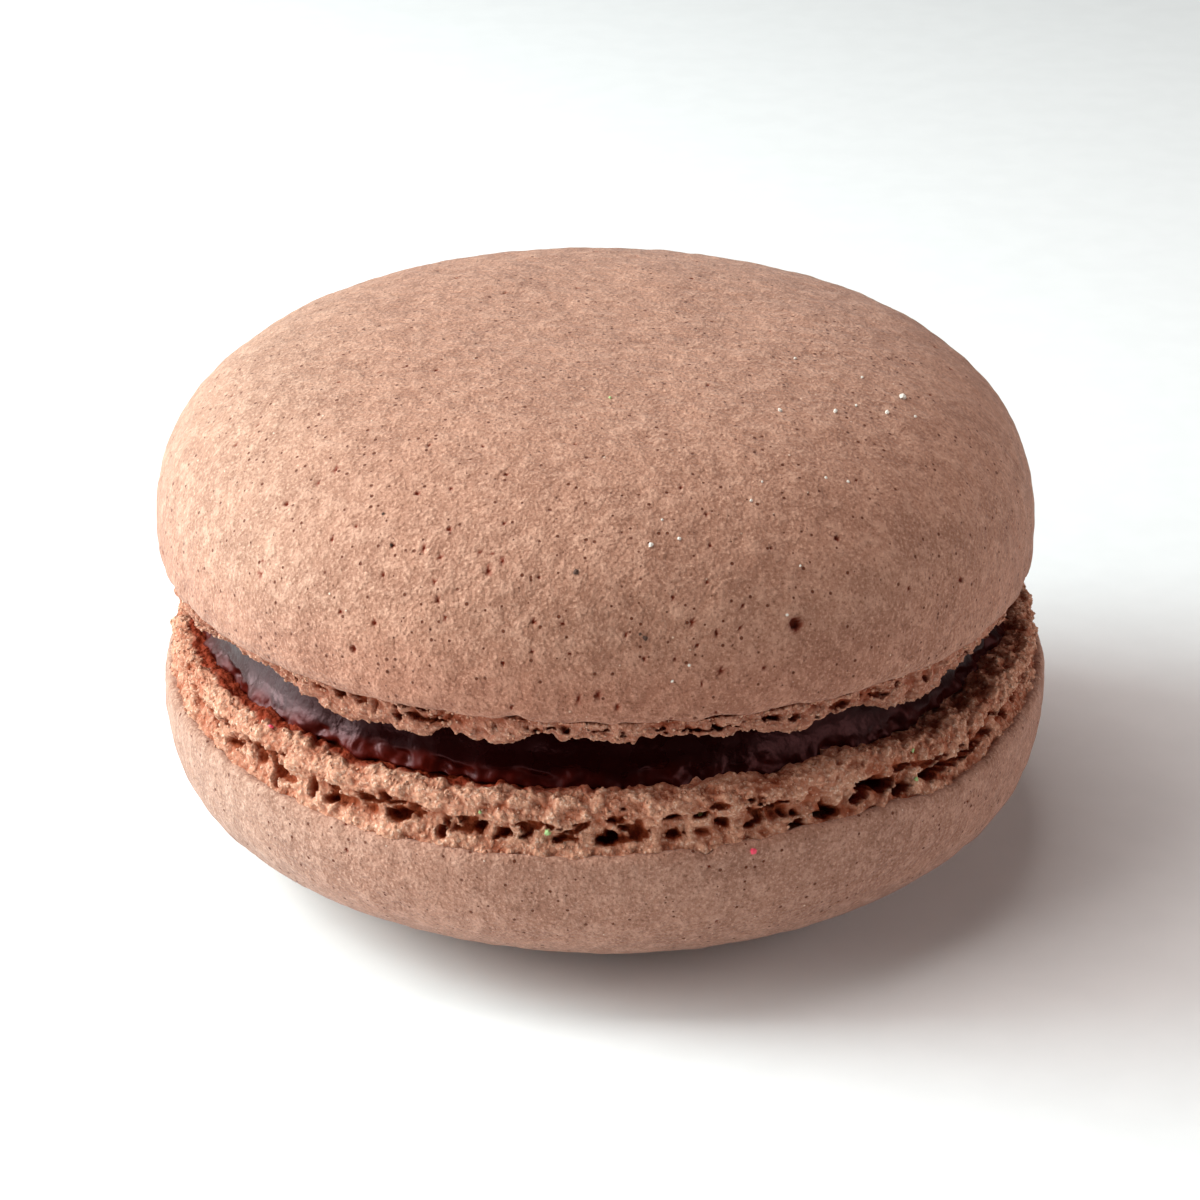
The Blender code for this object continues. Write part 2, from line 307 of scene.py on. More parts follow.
def pressPits(bm, crust, seed):
    # Each pit gathers the grid about it, sinks it and leaves a low rim
    bm.normal_update()
    bm.verts.ensure_lookup_table()
    hit = BVHTree.FromBMesh(bm)
    pore = bm.verts.layers.float.new("pore")
    pits = []
    for x, y, across, depth in crust["pits"]:
        place, normal = hit.ray_cast(viewPoint, rayThrough((x, y)))[:2]
        pits.append((place, -normal, across * mm / 2, depth * mm))
    chance = random.Random(seed)
    for spot in chance.sample(range(crustRelief["cells"] ** 2), crust["morePits"]):
        vertex = bm.verts[spot]
        across = chance.uniform(*crustRelief["chanceAcross"])
        if all((vertex.co - pit[0]).length > crustRelief["pitsApart"] for pit in pits):
            pits.append((vertex.co.copy(), -vertex.normal, across / 2, across / 2))
    tree = KDTree(len(bm.verts))
    for i, vertex in enumerate(bm.verts):
        tree.insert(vertex.co, i)
    tree.balance()
    lip, lipAt, lipWide = crustRelief["pitRim"]
    for centre, inward, radius, depth in pits:
        # It stops half way to the next pit
        apart = [(centre - other[0]).length for other in pits if other[0] != centre]
        reach = min(crustRelief["pitReach"], min(apart) / 2)
        closest = min(1.0, radius / (crustRelief["spacing"] * crustRelief["pitRings"]))
        for place, i, away in tree.find_range(centre, reach):
            gather = closest + (1 - closest) * (away / reach) ** 2
            near = away * gather / radius
            raised = lip * depth * math.exp(-((near - lipAt) / lipWide) ** 2)
            sink = depth * smoothStep(*crustRelief["pitWall"], near) - raised
            vertex = bm.verts[i]
            vertex.co += (centre - place) * (1 - gather) + inward * sink
            vertex[pore] = max(vertex[pore], smoothStep(*crustRelief["pitStain"], near))


# Feet: turned discs of crumb with nodules, holes and crevices round the edge
lowerFoot = {
    "top": 12.0,               # of the flat middle, in millimetres
    "section": (
        (19.6, 12.0), (20.4, 12.08), (21.0, 12.25), (21.6, 12.33), (22.1, 12.22), (22.42, 11.9),
        (22.55, 11.5), (22.55, 11.1), (22.45, 10.75), (22.35, 10.5), (22.45, 10.2), (22.62, 9.85),
        (22.74, 9.55), (22.78, 9.3), (22.6, 9.0), (22.2, 8.8),
    ),
    "bottom": 8.8,
    "quiet": 0.8,              # of each end of the section, with less crumb
    "radius": 22.4 * mm,
    "shift": 0.0,
    "rim": 9.5 * mm,
    "rimWaves": lowerCrust["rimWaves"],
    "rimBumps": lowerCrust["rimBumps"],
    "lobes": (4.5 * mm, 0.35 * mm),
    # The slot between the fringe on the crust and the foot proper: its height
    # above the rim, its size, and the size of the crumb that bridges it and
    # how much of it that closes
    "slot": {
        "height": 1.0 * mm, "width": 0.17 * mm, "depth": 0.45 * mm, "bridge": 1.5 * mm, "share": 0.10,
    },
    # Holes in the picture: x, y, width, height and depth in millimetres
    "holes": (
        (210, 717, 0.9, 0.4, 0.8), (225, 723, 0.4, 0.4, 0.8), (275, 772, 0.45, 1.2, 0.7),
        (310, 787, 0.45, 0.8, 0.8), (327, 800, 0.5, 0.5, 0.9), (383, 797, 0.6, 0.45, 0.7),
        (394, 815, 1.1, 0.5, 0.9), (440, 830, 0.5, 0.5, 0.6), (477, 827, 1.1, 0.5, 0.9),
        (503, 833, 0.7, 0.35, 0.7), (580, 828, 0.7, 0.5, 0.5), (607, 840, 0.9, 0.6, 1.2),
        (618, 822, 0.7, 0.4, 0.45), (677, 835, 0.9, 0.4, 0.6), (723, 807, 1.3, 0.35, 0.4),
        (758, 802, 1.2, 0.5, 0.5), (798, 822, 0.7, 0.6, 1.2), (830, 810, 1.1, 0.45, 1.4),
        (858, 797, 0.6, 0.4, 1.2), (866, 787, 1.0, 0.45, 1.4), (877, 784, 1.1, 0.45, 1.5),
        (889, 785, 1.1, 0.4, 1.5), (902, 788, 1.1, 0.4, 1.4), (934, 775, 1.2, 0.38, 1.6),
        (943, 769, 1.3, 0.4, 1.7), (953, 762, 1.4, 0.42, 1.7), (963, 755, 1.5, 0.42, 1.7),
        (973, 748, 1.6, 0.38, 1.6), (986, 729, 1.3, 0.5, 1.1), (1008, 710, 0.5, 0.5, 1.0),
        (1030, 673, 0.4, 0.9, 0.5),
    ),
    # And more of them anywhere: how many, from and to how far above the rim
    "moreHoles": (45, 0.7 * mm, 2.0 * mm),
    # Ragged hollows all round, in a band of millimetres above the rim; they
    # are rarer at a higher level
    "caverns": {
        "low": 0.5, "high": 2.0, "wide": 0.95 * mm, "tall": 0.55 * mm, "level": 0.11, "depth": 0.55 * mm,
    },
    # Inside this ring the ganache has soaked in
    "stain": 21.45 * mm,
}
upperFoot = {
    "top": 16.3,
    "section": (
        (20.6, 16.3), (21.8, 16.3), (22.22, 16.15), (22.28, 15.92), (22.15, 15.6), (22.0, 15.25),
        (21.8, 14.9), (21.45, 14.62), (20.95, 14.5), (20.4, 14.62), (19.8, 14.75),
    ),
    "bottom": 14.75,
    "quiet": 0.7,
    "radius": 21.7 * mm,
    "shift": -0.45 * mm,
    "rim": 16.0 * mm,
    "rimWaves": upperCrust["rimWaves"],
    "rimBumps": (),
    "slot": {
        "height": -0.28 * mm, "width": 0.16 * mm, "depth": 0.2 * mm, "bridge": 1.4 * mm, "share": 0.25,
    },
    "holes": (
        (325, 688, 0.6, 0.3, 0.6), (344, 692, 0.7, 0.35, 0.7), (399, 712, 0.35, 0.9, 0.8),
        (412, 702, 0.8, 0.35, 0.6), (427, 708, 0.9, 0.3, 0.6), (566, 729, 0.5, 0.4, 0.6),
        (724, 726, 1.2, 0.35, 0.8), (772, 717, 0.9, 0.35, 0.7), (858, 697, 0.5, 0.35, 0.5),
    ),
    "moreHoles": (40, -1.1 * mm, -0.2 * mm),
    "caverns": {
        "low": -1.2, "high": -0.1, "wide": 0.8 * mm, "tall": 0.5 * mm, "level": 0.22, "depth": 0.45 * mm,
    },
    "stain": 0.0,              # it stays clean
    # Lower edge of the foot in the picture, from left to right
    "hem": (
        (194, 624), (239, 648), (278, 678), (300, 693), (325, 711), (346, 721), (373, 725), (396, 732),
        (422, 736), (446, 731), (456, 737), (480, 743), (512, 747), (534, 738), (547, 737), (559, 743),
        (591, 741), (612, 746), (635, 747), (642, 741), (670, 742), (686, 738), (716, 740), (746, 735),
        (786, 736), (804, 733), (827, 718), (869, 709), (892, 711), (927, 699), (943, 683), (960, 667),
        (976, 644), (999, 625), (1024, 593),
    ),
    "hemRadius": 21.6 * mm,
    "hemDrop": 1.35 * mm,      # of the section above, and where the foot isn't seen
}
crumb = {
    "step": 0.11 * mm,         # between the points of a section
    "turns": 1440,
    "warp": (0.9 * mm, 0.18 * mm),     # size and strength of what bends the nodules
    # Size, relief and share of missing nodules of each grade of crumb
    "grades": ((2.2 * mm, 0.20 * mm, 0.0), (0.95 * mm, 0.21 * mm, 0.10), (0.45 * mm, 0.15 * mm, 0.10)),
    "level": 0.5,              # share of a nodule's relief that the section runs at
    "smooth": 0.55,            # exponent of a nodule's dome
    "missingSpread": 9.7,      # scatters the chance that one is missing
    "grit": (0.26 * mm, 0.055 * mm),
    "sunken": 0.8,             # depth of a missing nodule, as a share of its relief
    # Chance holes: width, height as a share of it, and depth
    "moreWide": (0.3 * mm, 0.9 * mm),
    "moreFlat": (0.4, 0.9),
    "moreDeep": (0.2 * mm, 0.5 * mm),
    "ragged": ((0.45 * mm, 1.7), (0.2 * mm, 0.8)),      # size and strength of what breaks a hole's edge
    "holeEdge": (1.45, 0.2),   # squared share of a hole's reach where it sets in, and is full
    "holeReach": 4,            # and where it has surely ended
    "bins": 360,               # the holes are sorted by angle, on a ring of this radius
    "binRing": 22 * mm,
    "slotWander": (1.5 * mm, 0.25 * mm),
    "slotReach": 3,            # widths above and below it
    "slotFade": 0.3,
    # Ragged hollows: finer noise and its share, how they fade at the band's
    # lower and upper side, how rare they are outside it, and their edge
    "cavernFiner": (2.3, 0.4),
    "cavernFades": (0.3, 0.4),
    "cavernOutside": 0.8,
    "cavernEdge": 0.22,
    "fall": 0.42,              # how far holes slope down for each millimetre inward
    "stainFade": 0.4 * mm,
    "stainShift": Vector((-0.35 * mm, 0.0, 0.0)),
    "stainWander": (0.8 * mm, 0.5 * mm),
    "thinnest": 0.1 * mm,      # of the upper foot's drop
}


def crumbAt(place):
    # Rounded nodules of several grades, some of them missing
    size, strength = crumb["warp"]
    place = place + noise.noise_vector(place / size) * strength
    height = 0.0
    for size, relief, missing in crumb["grades"]:
        (near, second, *rest), centres = noise.voronoi(place / size)
        dome = ((second - near) / (second + near)) ** crumb["smooth"]
        if missing and noise.cell(centres[0] * crumb["missingSpread"]) < missing:
            dome = -crumb["sunken"] * dome
        height += relief * (dome - crumb["level"])
    size, relief = crumb["grit"]
    return height + relief * noise.noise(place / size)


def holesOf(foot, seed):
    # The holes of a foot as (angle, height, width, height across, depth),
    # sorted into bins by their angle
    holes = [(*onDrum((x, y), foot["radius"], foot["shift"]), wide * mm, tall * mm, deep * mm)
             for x, y, wide, tall, deep in foot["holes"]]
    chance = random.Random(seed)
    count, low, high = foot["moreHoles"]
    for _ in range(count):
        angle = chance.uniform(-math.pi, math.pi)
        rise = foot["rim"] + rimRise(foot, angle) + chance.uniform(low, high)
        wide = chance.uniform(*crumb["moreWide"])
        tall = wide * chance.uniform(*crumb["moreFlat"])
        holes.append((angle, rise, wide, tall, chance.uniform(*crumb["moreDeep"])))
    bins = [[] for _ in range(crumb["bins"])]
    for hole in holes:
        reach = math.ceil(hole[2] / crumb["binRing"] / math.tau * crumb["bins"]) + 1
        middle = int(hole[0] / math.tau * crumb["bins"])
        for k in range(middle - reach, middle + reach + 1):
            bins[k % crumb["bins"]].append(hole)
    return bins


def holeDepth(holes, angle, ring, high):
    # How far the crumb has fallen in at a place
    depth = 0.0
    for turn, middle, wide, tall, deep in holes:
        along = (angle - turn + math.pi) % math.tau - math.pi
        inside = (2 * along * ring / wide) ** 2 + (2 * (high - middle) / tall) ** 2
        if inside < crumb["holeReach"]:
            edge = layered(Vector((angle * ring, high, turn * mm)), crumb["ragged"])
            depth = max(depth, deep * smoothStep(*crumb["holeEdge"], inside + edge))
    return depth


def cavernDepth(caverns, place, rise):
    # The same for the ragged hollows, at a height above the rim
    wide, tall = caverns["wide"], caverns["tall"]
    flat = Vector((place.x / wide, place.y / wide, place.z / tall))
    finer, share = crumb["cavernFiner"]
    level = noise.noise(flat) + share * noise.noise(flat * finer)
    rise /= mm
    low, high = caverns["low"], caverns["high"]
    below, above = crumb["cavernFades"]
    band = smoothStep(low, low + below, rise) * smoothStep(high, high - above, rise)
    level -= crumb["cavernOutside"] * (1 - band)
    start = caverns["level"]
    return caverns["depth"] * smoothStep(start, start + crumb["cavernEdge"], level)


def hemDrops(foot):
    # How far the foot hangs below the rim, at each angle that the picture gives
    drops = []
    for pixel in foot["hem"]:
        angle, high = onDrum(pixel, foot["hemRadius"], foot["shift"])
        drops.append((angle, foot["rim"] + rimRise(foot, angle) - high))
    return drops


def hemScale(foot, drops, angle):
    # The drop at an angle, as a share of the section's own
    first, last = drops[0][0], drops[-1][0]
    if first < angle < last:
        for (a0, d0), (a1, d1) in zip(drops, drops[1:]):
            if angle <= a1:
                drop = d0 + (d1 - d0) * (angle - a0) / (a1 - a0)
                return max(drop, crumb["thinnest"]) / foot["hemDrop"]
    return 1.0


def makeFoot(name, foot, seed):
    fine = evenly(rounded(foot["section"]), crumb["step"])
    middle = [(0.0, foot["top"] * mm)], [(0.0, foot["bottom"] * mm)]
    bm, row = turned(middle[0] + fine + middle[1], crumb["turns"])
    cavity = bm.verts.layers.float.new("cavity")
    stain = bm.verts.layers.float.new("stain")
    drops = hemDrops(foot) if "hem" in foot else []
    bins = holesOf(foot, seed)
    slot = foot["slot"]
    aside = Vector((foot["shift"], 0.0, 0.0))
    places = []
    for vertex in bm.verts:
        ring = vertex.co.xy.length
        ends = min(vertex[row] - 1, len(fine) - vertex[row]) * crumb["step"] / mm
        share = smoothStep(0.0, foot["quiet"], ends)
        if ring < mm:
            # The middle of the flat top or bottom
            places.append((vertex.co + aside, 0.0, 0.0))
            continue
        outward = Vector((vertex.co.x / ring, vertex.co.y / ring, 0.0))
        angle = math.atan2(outward.y, outward.x)
        high = vertex.co.z
        rise = rimRise(foot, angle)
        if drops and high < foot["rim"]:
            high = foot["rim"] - (foot["rim"] - high) * hemScale(foot, drops, angle)
        elif not drops:
            high += foot["lobes"][1] * noise.noise(outward * (ring / foot["lobes"][0])) * share
        away = abs(vertex.co.z - foot["rim"])
        high += smoothStep(crustRelief["rimReach"], 0.0, away) * rise
        above = high - foot["rim"] - rise
        rest = outward * ring + Vector((0.0, 0.0, high))
        relief = crumbAt(rest) * share if share > 0 else 0.0
        sink = 0.0
        if share > 0:
            wander = layered(rest, (crumb["slotWander"],))
            offset = (above - slot["height"] + wander) / slot["width"]
            if abs(offset) < crumb["slotReach"]:
                gap = noise.noise(outward * (ring / slot["bridge"]))
                gap = smoothStep(slot["share"], slot["share"] + crumb["slotFade"], gap)
                sink = slot["depth"] * gap * math.exp(-offset * offset)
            near = bins[int(angle / math.tau * crumb["bins"]) % crumb["bins"]]
            hole = holeDepth(near, angle, ring, high)
            sink = max(sink, hole, cavernDepth(foot["caverns"], rest, above)) * share
        edge = (rest - crumb["stainShift"]).xy.length + layered(rest, (crumb["stainWander"],))
        soaked = smoothStep(foot["stain"], foot["stain"] - crumb["stainFade"], edge)
        inward = Vector((-outward.x, -outward.y, -crumb["fall"]))
        places.append((rest + vertex.normal * relief + inward * sink + aside, relief - sink, soaked))
    for vertex, (place, depth, soaked) in zip(bm.verts, places):
        vertex.co = place
        vertex[cavity] = depth / mm
        vertex[stain] = soaked
    return meshFrom(name, bm)


# Loose crumb: thousands of small grains stuck to both feet
looseCrumb = {
    "doublings": 13,           # one grain doubled this often
    "size": (0.10 * mm, 0.25 * mm),
    "inside": 20.7 * mm,       # no grains nearer the middle
    "deepest": -0.45,          # nor further down in the holes, in millimetres
    "raised": -0.08,           # share of its size that a grain's middle stands off
    "stretch": (0.7, 1.2),
    "paintedLighter": 0.25,             # added to the depth mark of the crumb under it, for less painted hollow shade
    "dry": 0.5,                # no grains where the stain is stronger
}


def makeLooseCrumb(name, feet, seed):
    spots = []
    for foot in feet:
        marks = foot.data.attributes["cavity"].data
        soaked = foot.data.attributes["stain"].data
        for vertex, mark, wet in zip(foot.data.vertices, marks, soaked):
            dry = wet.value < looseCrumb["dry"] and vertex.co.xy.length > looseCrumb["inside"]
            if dry and mark.value > looseCrumb["deepest"]:
                spots.append((vertex.co.copy(), vertex.normal.copy(), mark.value))
    bm = bmesh.new()
    grain = len(bmesh.ops.create_icosphere(bm, subdivisions=1, radius=1.0)["verts"])
    for _ in range(looseCrumb["doublings"]):
        bmesh.ops.duplicate(bm, geom=bm.verts[:] + bm.edges[:] + bm.faces[:])
    cavity = bm.verts.layers.float.new("cavity")
    bm.verts.ensure_lookup_table()
    chance = random.Random(seed)
    small, large = looseCrumb["size"]
    for start in range(0, len(bm.verts), grain):
        place, normal, depth = chance.choice(spots)
        size = small + (large - small) * chance.random() ** 2
        shape = Vector(chance.uniform(*looseCrumb["stretch"]) for _ in range(3)) * (size / 2)
        turn = Euler(chance.uniform(0, math.tau) for _ in range(3)).to_matrix()
        middle = place + normal * (looseCrumb["raised"] * size)
        for vertex in bm.verts[start:start + grain]:
            vertex.co = middle + turn @ (vertex.co * shape)
            vertex[cavity] = depth + looseCrumb["paintedLighter"]
    return meshFrom(name, bm)


# Ganache: a bulging disc that has spread a little over the lower foot
ganache = {
    "top": 14.7,
    "section": (
        (19.2, 14.7), (19.6, 14.3), (19.83, 13.8), (19.99, 13.35), (20.13, 13.05), (20.33, 12.75),
        (20.54, 12.43), (20.72, 12.13), (20.77, 11.92), (20.4, 11.92),
    ),
    "bottom": 11.95,
    "shift": -0.2 * mm,
    "step": 0.12 * mm,
    "turns": 900,
    "calm": (18 * mm, 19.3 * mm),      # flat up to the first ring, uneven past the second
    "swells": ((6.0 * mm, 0.22 * mm), (2.2 * mm, 0.10 * mm), (1.0 * mm, 0.04 * mm)),
    # What makes the thin skirt ragged, where it starts, and how that wanders
    "skirt": ((2.2 * mm, 0.4 * mm), (0.8 * mm, 0.32 * mm), (0.4 * mm, 0.16 * mm)),
    "skirtTop": 12.85 * mm,
    "skirtFade": 0.5 * mm,
    "skirtWander": (1.5 * mm, 0.35 * mm),
}


def makeGanache():
    fine = evenly(rounded(ganache["section"]), ganache["step"])
    middle = [(0.0, ganache["top"] * mm)], [(0.0, ganache["bottom"] * mm)]
    bm = turned(middle[0] + fine + middle[1], ganache["turns"])[0]
    thin = bm.verts.layers.float.new("thin")
    moves = []
    for vertex in bm.verts:
        place = vertex.co
        ring = place.xy.length
        wide = smoothStep(*ganache["calm"], ring)
        outward = Vector((place.x, place.y, 0.0)) / max(ring, mm)
        top = ganache["skirtTop"] + layered(outward * ring, (ganache["skirtWander"],))
        low = smoothStep(top, top - ganache["skirtFade"], place.z) * wide
        move = vertex.normal * (wide * layered(place, ganache["swells"]))
        move += outward * (low * layered(place, ganache["skirt"]))
        moves.append((move, low))
    for vertex, (move, low) in zip(bm.verts, moves):
        vertex.co += move + Vector((ganache["shift"], 0.0, 0.0))
        vertex[thin] = low
    return meshFrom("ganache", bm)


# Grains and specks that lie on the macaron, each kind one piece
grains = {
    "sugarGrains": {
        # Picture x and y, and size across in millimetres
        "spots": (
            (902, 398, 0.42), (887, 413, 0.26), (835, 412, 0.28), (780, 411, 0.24), (795, 359, 0.2),
            (862, 378, 0.18), (856, 406, 0.16), (915, 417, 0.2), (751, 501, 0.2), (679, 539, 0.22),
            (651, 545, 0.26), (826, 478, 0.16), (848, 482, 0.16), (800, 566, 0.14), (762, 482, 0.14),
            (662, 520, 0.14), (787, 615, 0.16), (689, 665, 0.16), (672, 681, 0.15),
        ),
        "flat": 0.8,
        "seed": 11,
        "finish": ("sugar", (0.80, 0.74, 0.66), 0.35),      # name, tone and roughness
    },
    "cocoaSpecks": {
        "spots": (
            (576, 572, 0.30), (645, 638, 0.34), (391, 545, 0.22), (383, 514, 0.18), (640, 634, 0.2),
        ),
        "flat": 0.4,
        "seed": 12,
        "finish": ("cocoa", (0.085, 0.040, 0.026), 0.8),
    },
    "greenDust": {
        "spots": (
            (547, 831, 0.48), (700, 814, 0.36), (912, 750, 0.28), (916, 779, 0.26), (480, 812, 0.2),
            (610, 398, 0.22),
        ),
        "flat": 0.6,
        "seed": 13,
        "finish": ("greenSugar", (0.42, 0.64, 0.25), 0.45),
    },
    "pinkDust": {
        "spots": ((753, 851, 0.38), (271, 727, 0.28)),
        "flat": 0.6,
        "seed": 14,
        "finish": ("pinkSugar", (0.85, 0.06, 0.12), 0.45),
    },
}
grainShape = {
    "long": (0.8, 1.2),
    "wide": (0.7, 1.0),
    "spin": 6.3,               # radians, a full turn
    "raised": 0.25,            # share of its height that a grain's middle stands off
    "rough": (0.09 * mm, 0.16),        # size, and relief as a share of the grain
    "fine": (0.1 * mm, 2.0),   # the finish's noise, what of it shows, and its relief
    "mottled": (0.35, 0.65),
    "dull": 0.8,
    "relief": 0.02 * mm,
}


def scatter(name, kind, targets):
    # Small crystals that stand where the picture shows them
    chance = random.Random(kind["seed"])
    flat = kind["flat"]
    bm = bmesh.new()
    for x, y, across in kind["spots"]:
        ray = rayThrough((x, y))
        hits = [tree.ray_cast(viewPoint, ray)[:2] for tree in targets]
        place, normal = min((hit for hit in hits if hit[0]), key=lambda hit: (hit[0] - viewPoint).length)
        long = chance.uniform(*grainShape["long"])
        wide = chance.uniform(*grainShape["wide"])
        stretch = Vector((long, wide, flat)) * across * mm / 2
        spin = Euler((0.0, 0.0, chance.uniform(0, grainShape["spin"]))).to_quaternion()
        turn = normal.to_track_quat("Z", "Y") @ spin
        middle = place + normal * (grainShape["raised"] * flat * across * mm)
        matrix = Matrix.LocRotScale(middle, turn, stretch)
        made = bmesh.ops.create_icosphere(bm, subdivisions=1, radius=1.0, matrix=matrix)["verts"]
        size, relief = grainShape["rough"]
        for vertex in made:
            vertex.co += noise.noise_vector(vertex.co / size) * (relief * across * mm)
    piece = meshFrom(name, bm)
    piece.data.shade_flat()
    return piece


# Shader maths: working with a wired socket adds the Math nodes
class Wire:
    def __init__(self, finish, socket):
        self.finish = finish
        self.socket = socket

    def math(self, operation, *values):
        return self.finish.add("Math", {"operation": operation}, dict(enumerate(values)))

    def __add__(self, other):
        return self.math("ADD", self, other)

    def __radd__(self, other):
        return self.math("ADD", other, self)

    def __sub__(self, other):
        return self.math("SUBTRACT", self, other)

    def __rsub__(self, other):
        return self.math("SUBTRACT", other, self)

    def __mul__(self, other):
        return self.math("MULTIPLY", self, other)

    def __rmul__(self, other):
        return self.math("MULTIPLY", other, self)


class Finish:
    def __init__(self, name):
        self.material = bpy.data.materials.new(name)
        self.material.use_nodes = True
        self.tree = self.material.node_tree
        self.tree.nodes.clear()

    def add(self, kind, settings, sockets, output=0):
        # Any node: its settings first, then its sockets, and one output back
        node = self.tree.nodes.new("ShaderNode" + kind)
        for name, value in settings.items():
            setattr(node, name, value)
        for name, value in sockets.items():
            slot = node.inputs[name]
            if isinstance(value, Wire):
                self.tree.links.new(value.socket, slot)
            elif slot.type == "RGBA" and len(value) == 3:
                slot.default_value = (*value, 1.0)
            else:
                slot.default_value = value
        return Wire(self, node.outputs[output]) if node.outputs else None

    def place(self):
        return self.add("TexCoord", {}, {}, "Object")

    def along(self, place, axis):
        return self.add("SeparateXYZ", {}, {"Vector": place}, axis)

    def mark(self, name):
        return self.add("Attribute", {"attribute_name": name}, {}, "Fac")

    def grain(self, place, size, detail=2.0, roughness=0.5):
        sockets = {"Vector": place, "Scale": 1 / size, "Detail": detail, "Roughness": roughness}
        return self.add("TexNoise", {}, sockets)

    def cells(self, place, size, output=0):
        return self.add("TexVoronoi", {}, {"Vector": place, "Scale": 1 / size}, output)

    def dots(self, place, cell, wide, edge):
        # One dot at most in each cell: a chance for it makes it wide or none
        chance = self.add("SeparateColor", {}, {"Color": self.cells(place, cell, 1)})
        return self.between(self.between(chance, *wide) - self.cells(place, cell), 0.0, edge)

    def between(self, value, low, high, start=0.0, end=1.0):
        sockets = {"Value": value, "From Min": low, "From Max": high, "To Min": start, "To Max": end}
        return self.add("MapRange", {"interpolation_type": "SMOOTHSTEP"}, sockets)

    def blend(self, share, first, second):
        return self.add("Mix", {"data_type": "RGBA"}, {0: share, 6: first, 7: second}, 2)

    def tint(self, share, colour, by):
        settings = {"data_type": "RGBA", "blend_type": "MULTIPLY"}
        return self.add("Mix", settings, {0: share, 6: colour, 7: by}, 2)

    def bump(self, height, distance, strength=1.0):
        return self.add("Bump", {}, {"Height": height, "Distance": distance, "Strength": strength})

    def surface(self, sockets):
        shader = self.add("BsdfPrincipled", {}, sockets)
        self.add("OutputMaterial", {}, {"Surface": shader}, 0)
        return self.material


crustLook = {
    "tone": (0.414, 0.204, 0.133),
    "pale": (0.64, 0.370, 0.262),
    "deep": (0.21, 0.083, 0.048),
    "fleck": (0.76, 0.55, 0.42),
    "hole": (0.19, 0.022, 0.005),
    # pinhole: the crust's red-brown inside, darkened as painted shade, since a pinhole is only a bump
    "pinhole": (0.14, 0.036, 0.015),
    # Painted shade of the lower crust's copy: darker and a little bluer
    "lowerPaintedShade": (0.93, 0.93, 0.96),
    # Painted shade, with a red cast of bounced light, on the upper crust's lower belt:
    # the heights where it deepens, the heights that keep it off the lower crust, and how it weakens at the
    # right
    "paintedBeltShade": (0.94, 0.82, 0.79),
    "paintedBeltShadeEdge": (21.5 * mm, 17.0 * mm),
    "paintedBeltShadeAbove": (12 * mm, 14 * mm),
    "paintedBeltShadeSide": (19 * mm, 7 * mm, 0.4, 1.0),
    # Painted light: the lit left side paler and less saturated, like a highlight
    "paintedLighter": (0.98, 1.07, 1.10),
    "paintedLighterSide": (-9 * mm, -19 * mm),
    # Noise: size, detail and roughness. Then what of it shows, and how much
    "mottle": (3.0 * mm, 4.0, 0.6),
    "lumps": (0.7 * mm, 3.0, 0.6),
    "fine": (0.17 * mm, 4.0, 0.7),
    "mottleDeep": (0.62, 0.36, 0.0, 0.36),
    "lumpsPale": (0.44, 0.68, 0.0, 0.46),
    "finePale": (0.50, 0.70, 0.0, 0.9),
    "fineDeep": (0.48, 0.28),
    # Dots: size of their cells, how wide chance makes them, and their soft edge
    "pinholes": (0.42 * mm, (0.30, 1.0, 0.0, 0.24), 0.05),
    "flecks": (0.8 * mm, (0.5, 1.0, 0.0, 0.09), 0.03),
    "fleckShift": (0.5, 0.3, 0.2),
    "granules": 0.19 * mm,
    # How far each stands up, as shares of the relief
    "rise": {"fine": 0.5, "lumps": 1.5, "granules": 0.35, "pinholes": 0.4, "flecks": 0.4},
    "relief": 0.11 * mm,
    "roughness": (0.3, 0.7, 0.57, 0.73),
    "gloss": 0.15,
    "bloom": 0.12,
}


def crustFinish(name, shade=(1.0, 1.0, 1.0)):
    look = crustLook
    f = Finish(name)
    place = f.place()
    across = f.along(place, "X")
    high = f.along(place, "Z")
    mottle = f.grain(place, *look["mottle"])
    fine = f.grain(place, *look["fine"])
    lumps = f.grain(place, *look["lumps"])
    tone = f.blend(f.between(mottle, *look["mottleDeep"]), look["tone"], look["deep"])
    tone = f.blend(f.between(lumps, *look["lumpsPale"]), tone, look["pale"])
    tone = f.blend(f.between(fine, *look["finePale"]), tone, look["pale"])
    tone = f.blend(f.between(fine, *look["fineDeep"]), tone, look["deep"])
    pinhole = f.dots(place, *look["pinholes"])
    moved = f.add("VectorMath", {"operation": "ADD"}, {0: place, 1: look["fleckShift"]})
    fleck = f.dots(moved, *look["flecks"])
    tone = f.blend(fleck, tone, look["fleck"])
    # Painted shade with a red cast of bounced light on the upper crust's lower belt, weaker at the right
    paintedBeltShade = f.between(high, *look["paintedBeltShadeEdge"]) * f.between(high, *look["paintedBeltShadeAbove"])
    paintedBeltShade = paintedBeltShade * f.between(across, *look["paintedBeltShadeSide"])
    # A shaded copy's painted shade multiplies the whole tone
    tone = f.tint(paintedBeltShade, f.tint(1.0, tone, shade), look["paintedBeltShade"])
    # Painted light on the lit left side
    tone = f.tint(f.between(across, *look["paintedLighterSide"]), tone, look["paintedLighter"])
    # Pinholes: red-brown, darkened with painted shade since they are only bumps
    tone = f.blend(pinhole, tone, look["pinhole"])
    tone = f.blend(f.mark("pore"), tone, look["hole"])
    rise = look["rise"]
    height = fine * rise["fine"] + lumps * rise["lumps"]
    height = height - f.cells(place, look["granules"]) * rise["granules"]
    height = height - pinhole * rise["pinholes"] + fleck * rise["flecks"]
    return f.surface({
        "Base Color": tone,
        "Roughness": f.between(fine, *look["roughness"]),
        "Specular IOR Level": look["gloss"],
        "Sheen Weight": look["bloom"],
        "Normal": f.bump(height, look["relief"]),
    })


